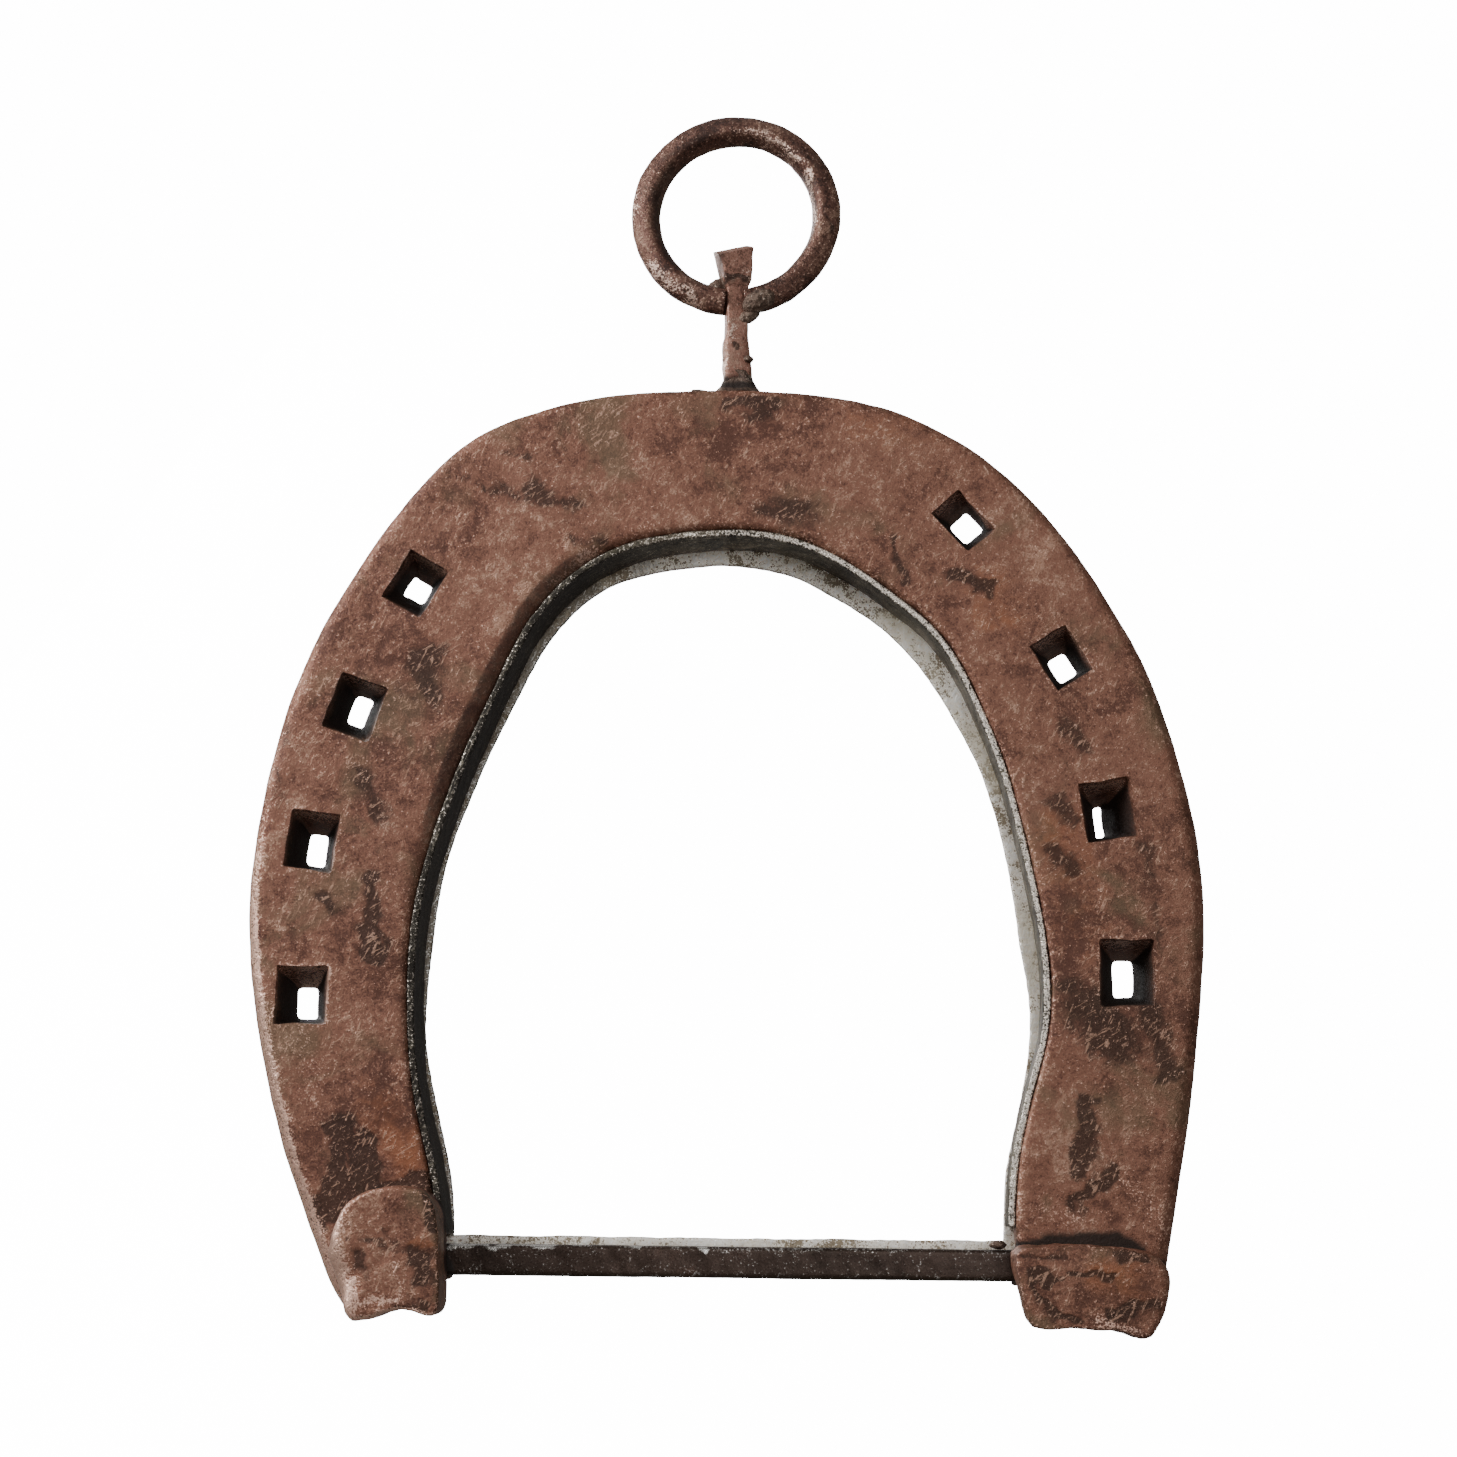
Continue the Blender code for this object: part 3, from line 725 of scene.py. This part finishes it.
def paintShoe(places, normals, marks):
    # Face marks and fold marks are told apart by depth. A nail hole's walls get painted shade that
    # deepens with depth, and its upper walls, which look down, get less of it and a painted reflection
    # near the face.
    across, deep, high = places.T
    values = paintMarks(places, normals, shoeMarks)
    inFront = ramp(deep, *shoeShadeAndHighlight["fades"])
    values = {name: marked * inFront for name, marked in values.items()}
    onFold = ramp(deep, *shoeShadeAndHighlight["folds"])
    for name, fold in paintMarks(places, normals, foldMarks).items():
        values[name] = values[name] * (1 - onFold) + fold * onFold

    # The bevel on the upper left's inner edge gets painted shade, darker than the face,
    fromMiddle = places[:, [0, 2]] - opening
    inward = -(normals[:, [0, 2]] * unit(fromMiddle)).sum(axis=1)
    look = shoeShadeAndHighlight["upperLeft"]
    bevelled = ramp(inward, 0.12, 0.27) * (np.hypot(*fromMiddle.T) < look["reach"])
    upperLeft = ramp(high, *look["height"]) * ramp(across, *look["side"])
    values["shadeAndSoot"] = np.maximum(values["shadeAndSoot"], look["shadeAndSoot"] * bevelled * upperLeft)
    # and the lower left's outer edge gets a painted highlight with some wear
    look = shoeShadeAndHighlight["lowerLeft"]
    lowerLeft = ramp(high, *look["height"]) * ramp(across, *look["side"])
    rubbedAndLit = ramp(inward, -0.08, -0.28) * ramp(normals[:, 1], 0, -1 / 3) * lowerLeft
    values["wearAndHighlight"] = np.maximum(values["wearAndHighlight"], look["wearAndHighlight"] * rubbedAndLit)

    look = shoeShadeAndHighlight["hole"]
    wall = ramp(deep, *look["wall"]) * ramp(np.abs(normals[:, 1]), 0.88, 0.48)
    depth = ramp(deep, *look["depth"])
    # upper walls look down: they get less painted shade and, near the face, a painted reflection
    upper = ramp(normals[:, 2], -0.3, -0.8)
    wallShade = (look["shadeAndSoot"][0] * (1 - depth) + look["shadeAndSoot"][1] * depth) * (1 - look["spared"] * upper)
    for x, z, _ in holes["places"].values():
        inHole = wall * (np.hypot(across - x, high - z) < holes["reach"])
        values["shadeAndSoot"] = np.maximum(values["shadeAndSoot"], inHole * wallShade)
        values["wearAndHighlight"] = np.maximum(values["wearAndHighlight"], inHole * upper * (1 - depth) * look["wearAndHighlight"])
    return values


horseshoe = makeHorseshoe()
finishPiece(horseshoe, materials["forgedIron"], "forged_iron", "horseshoe", painter=paintShoe)


# The angles reached, points along and round the section, and (radius, rows) of each rounded end
band = dict(width=1.2, reach=(-141.9, 141.7), stations=560, blur=1.6, runs=(22, 5, 14, 5), ends=(0.1, 2),
            hammering=((9, 0.14, 41), (3, 0.10, 42), (1.4, 0.05, 43)))
rim = dict(width=4.4, reach=(-143.1, 144.1), stations=520, blur=1.6, runs=(7, 10, 5, 10), ends=(0.1, 2),
           hammering=((7, 0.12, 51), (2.4, 0.08, 52), (1.2, 0.05, 53)))
liningShadeAndHighlight = dict(leftShade=0.4, rightShade=0.34, leftDarker=0.6, wearAndHighlight=0.8)


def ribbon(name, node, look):
    # A flat strip that follows the inner face of a frame node: a rectangle from the inner face
    # outwards by width and from the node's front to its back, carried along the traced path
    low, high = boxOf(node)
    width = look["width"]
    rays = np.linspace(*look["reach"], shoe["rays"])
    path = evenPath(trace(node, opening, rays, (low[1] + high[1]) / 2), look["stations"], look["blur"])
    outwards = sideways(path)
    corners = [(0, high[1]), (0, low[1]), (width, low[1]), (width, high[1])]
    corners = [np.broadcast_to(np.array(corner, dtype=float), (len(path), 2)) for corner in corners]
    section = sectionPoints(corners, look["runs"], 1).transpose(1, 0, 2)
    flat = path[:, None, :] + outwards[:, None, :] * section[..., :1]
    rows = np.stack([flat[..., 0], section[..., 1], flat[..., 1]], axis=-1)
    return shell(name, hammered(roundEnds(rows, *look["ends"]), look["hammering"]))


def paintLining(places, normals, marks):
    # The inner walls of the left side and of the band's right side get painted shade, and the left side
    # is darker. The front edge gets a painted highlight on the right and over the toe.
    across, deep = places[:, 0], places[:, 1]
    values = paintMarks(places, normals, marks)
    leftWall = ramp(normals[:, 0], 0, 0.625) * ramp(across, 0, -12)
    rightWall = ramp(normals[:, 0], 0, -0.625) * ramp(across, 0, 12) * (deep < bandHigh[1])
    # painted shade on the inner walls
    wallShade = liningShadeAndHighlight["leftShade"] * leftWall + liningShadeAndHighlight["rightShade"] * rightWall
    values["shadeAndSoot"] = np.maximum(values["shadeAndSoot"], wallShade)
    values["stain"] = np.maximum(values["stain"], liningShadeAndHighlight["leftDarker"] * ramp(across, 0, -30))
    frontEdge = ramp(normals[:, 1], -0.5, -1) * ramp(across, -20, 10) * ramp(deep, -2, -4)
    values["wearAndHighlight"] = np.maximum(values["wearAndHighlight"], liningShadeAndHighlight["wearAndHighlight"] * frontEdge)
    return values


innerBand = ribbon("innerBand", "inner_band", band)
finishPiece(innerBand, materials["bandSteel"], "band_steel", "inner_band", painter=paintLining)

rearRim = ribbon("rearRim", "rear_rim", rim)
finishPiece(rearRim, materials["rimSteel"], "rim_steel", "rear_rim", painter=paintLining)


barTop = boxOf("cross_bar")[1][2]
barSlope = 1.0             # mm that the bar and the strip fall from their left to their right end
bar = dict(
    longer=1.3,                      # mm that each end sinks into its neighbour
    stations=300,
    runs=(14, 12, 14, 12),           # points along each side of the section
    ends=(0.15, 3),
    hammering=((14, 0.10, 61), (4, 0.06, 62), (1.6, 0.03, 63)),
    marks=dict(
        # wear and painted highlight along the bar's top front edge; painted shade where its ends meet
        # the shoe
        wearAndHighlight=((-45, barTop - 0.1, -14, barTop - 0.4, 0.4, 1.8),
               (-14, barTop - 0.4, 43, barTop - 1.0, 0.3, 0.35),
               (-5.0, barTop - 0.5, -4.5, barTop - 0.7, 0.6, 1.8)),
        shadeAndSoot=((38.8, -181.6, 43, -182.0, 0.9, 0.9), (-46, -182, -44.5, -186, 0.8, 0.7))),
)
strip = dict(longer=2.5, stations=300, runs=(5, 10, 5, 10), ends=(0.15, 3),
             hammering=((9, 0.16, 71), (2.5, 0.10, 72), (1.2, 0.05, 73)))


def straightBar(name, node, look):
    # A rectangle as high and deep as a frame node, hung from a top edge that falls by the slope,
    # and carried from the left end to the right
    low, high = boxOf(node)
    left = np.array((low[0] - look["longer"], high[2]))
    right = np.array((high[0] + look["longer"], high[2] - barSlope))
    height = high[2] - low[2] - barSlope
    top = left + (right - left) * np.linspace(0, 1, look["stations"])[:, None]
    corners = [(0, high[1]), (0, low[1]), (-height, low[1]), (-height, high[1])]
    corners = [np.broadcast_to(np.array(corner, dtype=float), (len(top), 2)) for corner in corners]
    section = sectionPoints(corners, look["runs"], 2).transpose(1, 0, 2)
    rows = np.stack([np.broadcast_to(top[:, :1], section.shape[:2]), section[..., 1],
                     top[:, 1:] + section[..., 0]], axis=-1)
    return shell(name, hammered(roundEnds(rows, *look["ends"]), look["hammering"]))


crossBar = straightBar("crossBar", "cross_bar", bar)
finishPiece(crossBar, materials["barSteel"], "bar_steel", "cross_bar", marks=bar["marks"])

rearStrip = straightBar("rearStrip", "rear_strip", strip)
finishPiece(rearStrip, materials["rimSteel"], "rim_steel", "rear_strip")


ring = dict(
    stations=360, around=52,
    squareness=2.9,                  # 2 is a round rod, higher is squarer
    corner=-22.0,                    # degrees of one corner from the front towards the ring's middle
    gap=(6.6, 7.2),                  # degrees from the bottom to the right and the left end
    ends=(0.25, 4), sharp=60,
    hammering=((10, 0.14, 81), (3.5, 0.09, 82), (1.5, 0.04, 83)),
    marks=dict(
        # painted highlight along the ridge, and painted shade on the inner flank and over the top
        wearAndHighlight=((-14.8, -21.5, -6, -28.5, 1.0, 0.75), (-17, -9, -17.2, -13, 0.8, 0.5),
               (0, 1.6, 5, 1.0, 0.6, 0.5), (5, 1.0, 11, -4, 0.7, 0.85),
               (12, -6, 13.2, -14, 0.6, 0.8)),
        shadeAndSoot=((-10.4, -3.9, -13.1, -9.1, 0.9, 0.42), (-13.1, -9.1, -13.4, -15, 1.1, 0.5),
              (-13.4, -15, -11.1, -20.4, 0.9, 0.45), (-11.1, -20.4, -6.8, -24.4, 0.7, 0.42),
              (-3, 2.4, -12, -3, 0.9, 0.36), (7, 2.8, 15.4, -7, 0.5, 0.36),
              (-8, 3.6, 6, 4.4, 1.0, 0.25)),
        stain=((15.4, -7, 15.8, -16, 0.5, 0.5), (-6, 4, 4, 4.6, 1.2, 0.4))),
)


def ringRod():
    # A rounded square rod bent to a circle: the section is a superellipse turned so that one edge
    # runs just inside the front, scaled to the rod's size, and carried round the ring
    low, high = boxOf("hanging_ring")
    rod = (high[1] - low[1]) / 2
    radius = (high[0] - low[0]) / 2 - rod
    centre = np.array([(low[0] + high[0]) / 2, high[2] - radius - rod])
    angle = np.arange(ring["around"]) / ring["around"] * math.tau
    power = 2 / ring["squareness"]
    wide = np.sign(np.cos(angle)) * abs(np.cos(angle)) ** power
    deep = np.sign(np.sin(angle)) * abs(np.sin(angle)) ** power
    turn = math.radians(45 - ring["corner"])
    outwards = wide * math.cos(turn) - deep * math.sin(turn)
    forwards = wide * math.sin(turn) + deep * math.cos(turn)
    outwards *= rod / abs(outwards).max()
    forwards *= rod / abs(forwards).max()
    right, left = np.radians(ring["gap"])
    bend = np.linspace(math.pi - right, left - math.pi, ring["stations"])[:, None]
    reach = radius + outwards
    rows = np.stack([centre[0] + reach * np.sin(bend), -forwards + 0 * bend,
                     centre[1] + reach * np.cos(bend)], axis=-1)
    return hammered(roundEnds(rows, *ring["ends"]), ring["hammering"])


hangingRing = shell("hangingRing", ringRod(), ring["sharp"])
finishPiece(hangingRing, materials["ringIron"], "ring_iron", "hanging_ring", marks=ring["marks"])


nail = dict(
    turn=17.0,                       # degrees about its length
    around=64, rows=110, sharp=45,
    # height, middle x, half width, half depth, corner squareness
    stations=((-42.4, 0.3, 2.4, 1.0, 4), (-41.0, 0.25, 2.4, 1.35, 4), (-39.4, 0.15, 2.35, 1.5, 5),
              (-37.4, 0.1, 2.2, 1.45, 5), (-36.2, -0.05, 2.2, 1.5, 3.5), (-35.0, -0.1, 2.15, 1.5, 3.5),
              (-34.0, 0.0, 1.9, 1.4, 5), (-32.0, 0.05, 1.8, 1.38, 7), (-28.5, 0.0, 1.8, 1.38, 8),
              (-25.6, 0.0, 1.85, 1.38, 8), (-24.9, 0.0, 2.1, 1.75, 9), (-24.2, 0.0, 2.35, 2.05, 10),
              (-21.5, -0.2, 2.6, 2.3, 12), (-18.5, -0.45, 3.0, 2.5, 12)),
    topRise=(0.3, 0.45),             # how much the head's top rises to the right and to the back
    bent=5.0,                        # mm below the top over which the rows bend up to that rise
    crown=(0.94, 0.6, 0.3),          # how far in the rows on the head's top lie
    hammering=((5, 0.09, 91), (2.2, 0.06, 92), (1.1, 0.03, 93)),
    marks=dict(
        # painted highlight on the left flank and edges; painted shadow at the foot and on the head's
        # left side
        wearAndHighlight=((-0.6, -33.0, -0.4, -34.2, 0.5, 1.0), (-1.6, -38.5, -2.0, -41, 0.4, 0.9),
               (2.0, -25.5, 2.3, -22.5, 0.3, 0.5)),
        stain=((-0.9, -35.2, 0.0, -36, 0.5, 0.9), (-1.8, -24.6, 2.0, -24.7, 0.6, 0.8)),
        shadeAndSoot=((-1.6, -41.6, 2.0, -41.8, 0.9, 0.7), (-2.9, -17.5, -2.5, -24.0, 0.6, 0.4))),
)


def nailShape():
    # A superellipse at each height, with sizes read off straight lines between the stations,
    # turned about the nail's length. The head's top slopes, which lifts or lowers the rows near it.
    table = np.array(nail["stations"])
    heights = np.linspace(table[0, 0], table[-1, 0], nail["rows"])
    middle, wide, deep, power = [np.interp(heights, table[:, 0], column)[:, None]
                                 for column in table.T[1:]]
    angle = np.arange(nail["around"]) / nail["around"] * math.tau + math.pi / 4
    across = wide * np.sign(np.cos(angle)) * abs(np.cos(angle)) ** (2 / power)
    depth = deep * np.sign(np.sin(angle)) * abs(np.sin(angle)) ** (2 / power)
    turn = math.radians(nail["turn"])
    nearTop = ramp(heights, heights[-1] - nail["bent"], heights[-1])[:, None] ** 1.5
    rise = nail["topRise"][0] * across + nail["topRise"][1] * depth
    rows = np.stack([middle + across * math.cos(turn) - depth * math.sin(turn),
                     across * math.sin(turn) + depth * math.cos(turn),
                     heights[:, None] + nearTop * rise], axis=-1)
    crown = rows[-1].mean(axis=0)
    inner = [crown + (rows[-1] - crown) * share for share in nail["crown"]]
    return hammered(np.concatenate([rows, inner]), nail["hammering"])


hangerNail = shell("hangerNail", nailShape(), nail["sharp"])
finishPiece(hangerNail, materials["nailIron"], "nail_iron", "hanger_nail", marks=nail["marks"])


ball = dict(rows=38, around=56, dents=(0.12, 0.05), sharp=70)      # dents as shares of its size

# name, middle, radii, frame node it stands for, seed, tilt
welds = (
    ("ringWeldBead", (3.9, -1.7, -28.2), (2.9, 1.4, 1.8), "ring_weld_right", 111, -22),
    ("ringWeldWeb", (-3.3, 0.2, -25.3), (2.3, 1.6, 1.3), "ring_weld_left", 113, -38),
    ("ringWeldNeck", (-1.9, 0.2, -24.4), (1.0, 1.4, 2.0), None, 115, 0),
    ("ringWeldFillet", (2.2, -0.4, -30.4), (2.2, 1.4, 1.1), None, 117, -32),
    ("spatter1", (2.1, -0.9, -38.1), (0.8, 0.7, 0.6), None, 121, 0),
    ("spatter2", (-1.9, -0.7, -38.0), (0.4, 0.4, 0.4), None, 123, 0),
    ("spatter3", (-5.0, -2.6, -44.6), (2.3, 1.6, 0.5), None, 125, 14),
    ("spatter4", (40.2, -1.5, -181.6), (1.4, 0.8, 0.6), None, 127, 0),
    ("barWeldLeft", (-45.4, 2.0, -186.3), (0.8, 1.7, 0.6), "bar_weld_left", 131, 0),
    ("barWeldRight", (43.4, 1.2, -186.9), (1.2, 2.0, 0.7), "bar_weld_right", 133, -30),
)
toeWeld = dict(
    rows=40, around=72,
    top=(2.0, 1.7),                  # half width and half depth at the nail's foot
    flare=1.6,                       # how late the sides curve out: 1 is straight
    hollow=0.35, hollowSpread=0.55,  # share pressed in at the front, and how wide in radians
    sunk=(0.4, 0.5),                 # mm that it reaches into the nail's foot and into the toe
    hammering=((3.5, 0.3, 101), (1.4, 0.15, 102)),
    marks=dict(
        # painted shadow under the nail's foot, and painted highlight on the weld's sides
        shadeAndSoot=((-2.0, -42.5, 2.6, -42.7, 0.8, 0.85),),
        wearAndHighlight=((-2.6, -42.5, -1.8, -40.5, 0.6, 0.8), (2.2, -41.0, 2.7, -42.5, 0.6, 0.6))),
)


def bead(name, middle, radii, node, seed, tilt=0.0):
    # A ball of weld: sine and cosine rows from pole to pole, stretched to its radii, leaned in the
    # (x, z) plane by tilt degrees and then dented
    polar = np.linspace(0, math.pi, ball["rows"] + 2)[1:-1, None]
    around = np.arange(ball["around"]) / ball["around"] * math.tau
    rows = np.stack([np.sin(polar) * np.cos(around), np.cos(polar) + 0 * around,
                     np.sin(polar) * np.sin(around)], axis=-1) * radii
    lean = math.radians(tilt)
    rows = np.stack([rows[..., 0] * math.cos(lean) + rows[..., 2] * math.sin(lean), rows[..., 1],
                     rows[..., 2] * math.cos(lean) - rows[..., 0] * math.sin(lean)], axis=-1)
    rows += middle
    size = min(radii)
    broad, fine = ball["dents"]
    dents = broad * size * lumps(rows, 1.5 * size + 1, seed) + fine * size * lumps(rows, 0.8, seed + 1)
    piece = shell(name, pushed(rows, dents), ball["sharp"])
    finishPiece(piece, materials["weldMetal"], "weld_metal", *([node] if node else []))


def toeWeldShape():
    # Rings of points down from the nail's foot that flare out towards the toe, with a hollow
    # pressed into the front
    low, high = boxOf("toe_weld")
    share = np.linspace(0, 1, toeWeld["rows"])[:, None]
    angle = np.arange(toeWeld["around"]) / toeWeld["around"] * math.tau
    (topWide, topDeep), flare = toeWeld["top"], share ** toeWeld["flare"]
    wide = topWide + ((high[0] - low[0]) / 2 - topWide) * flare
    deep = topDeep + ((high[1] - low[1]) / 2 - topDeep) * flare
    ahead = np.exp(-((angle - 1.5 * math.pi) / toeWeld["hollowSpread"]) ** 2)
    hollow = 1 - toeWeld["hollow"] * ahead * np.sin(math.pi * share) ** 0.8
    middle = (low[0] + high[0]) / 2
    above, below = high[2] + toeWeld["sunk"][0], low[2] - toeWeld["sunk"][1]
    rows = np.stack([middle + wide * np.cos(angle), deep * np.sin(angle) * hollow,
                     above + (below - above) * share + 0 * angle], axis=-1)
    return hammered(rows, toeWeld["hammering"])


toe = shell("toeWeld", toeWeldShape(), ball["sharp"])
finishPiece(toe, materials["weldMetal"], "weld_metal", "toe_weld", marks=toeWeld["marks"])

for weld in welds:
    bead(*weld)
for number in range(1, 5):
    low, high = boxOf(f"rim_tack_{number}")
    bead(f"rimTack{number}", (low + high) / 2, (high - low) / 2, f"rim_tack_{number}", 140 + number)


view = dict(
    place=(0.02162, -0.39965, -0.17785),       # camera in metres
    pitch=10.994, yaw=3.2755,                  # degrees up and to the left
    lens=62.51, sensor=36,
)
lamps = dict(                                  # place, where it points, size in metres, watts
    key=((-0.85, -0.42, 0.42), (0, 0, -0.10), 0.45, 13.0),
    fill=((0.25, -0.95, 0.05), (0, 0, -0.10), 0.60, 2.6),
    top=((-0.05, 0.05, 0.75), (0, 0, -0.10), 0.60, 0.6),
    back=((-0.6, 0.95, 0.35), (0, 0, -0.10), 0.60, 5.0),
)
stage = dict(
    floor=-0.27, wall=1.1, curve=0.35,         # the sweep in metres
    near=-1.6, half=2.2, top=1.8,
    paper=(colour(0.90, 0.90, 0.90), colour(0.94, 0.94, 0.94)), glow=16.0,
    room=colour(1.0, 0.97, 0.93), roomGlow=0.16,
)


def makeCamera():
    # looks level along +Y, then up by the pitch and round by the yaw
    camera = bpy.data.objects.new("camera", bpy.data.cameras.new("camera"))
    camera.data.lens = view["lens"]
    camera.data.sensor_width = view["sensor"]
    camera.data.clip_start = 0.01
    camera.location = view["place"]
    camera.rotation_euler = (math.radians(90 + view["pitch"]), 0, math.radians(view["yaw"]))
    bpy.context.collection.objects.link(camera)
    bpy.context.scene.camera = camera


def makeLamp(name, place, target, size, watts):
    # a square soft light that faces its target
    lamp = bpy.data.objects.new(name, bpy.data.lights.new(name, "AREA"))
    lamp.data.size = size
    lamp.data.energy = watts
    lamp.location = place
    lamp.rotation_euler = (Vector(target) - Vector(place)).to_track_quat("-Z", "Y").to_euler()
    bpy.context.collection.objects.link(lamp)


def makeStage():
    # A floor that curves up into a wall: a straight run, a quarter circle and a straight rise
    bend = np.linspace(0, math.pi / 2, 16)
    y = stage["wall"] - stage["curve"] * (1 - np.sin(bend))
    z = stage["floor"] + stage["curve"] * (1 - np.cos(bend))
    y = np.concatenate([[stage["near"]], y, [stage["wall"]]])
    z = np.concatenate([[stage["floor"]], z, [stage["top"]]])
    sides = np.array([-stage["half"], stage["half"]])
    points = np.stack([np.broadcast_to(sides, (len(y), 2)), np.repeat(y[:, None], 2, 1),
                       np.repeat(z[:, None], 2, 1)], axis=-1).reshape(-1, 3)
    here = np.arange(len(y) - 1)[:, None] * 2
    mesh = bpy.data.meshes.new("sweep")
    mesh.from_pydata(points, [], (here + [0, 1, 3, 2]).tolist())
    mesh.shade_smooth()
    sweep = bpy.data.objects.new("sweep", mesh)
    bpy.context.collection.objects.link(sweep)
    paper = Bench("palePaper")
    tint = paper.mix(paper.noise(0.02, 2), *stage["paper"])
    paper.shade({"Base Color": tint, "Emission Color": tint},
                {"Roughness": 0.9, "Emission Strength": stage["glow"]})
    mesh.materials.append(paper.material)
    sweep.visible_diffuse = False        # the bright paper is only seen: the lamps light the object
    sweep.visible_glossy = False
    world = bpy.data.worlds.new("softRoom")
    world.use_nodes = True
    room = world.node_tree.nodes["Background"]
    room.inputs["Color"].default_value = stage["room"]
    room.inputs["Strength"].default_value = stage["roomGlow"]
    bpy.context.scene.world = world


makeCamera()
for name, settings in lamps.items():
    makeLamp(name, *settings)
makeStage()
print("camera, lamps and stage made")
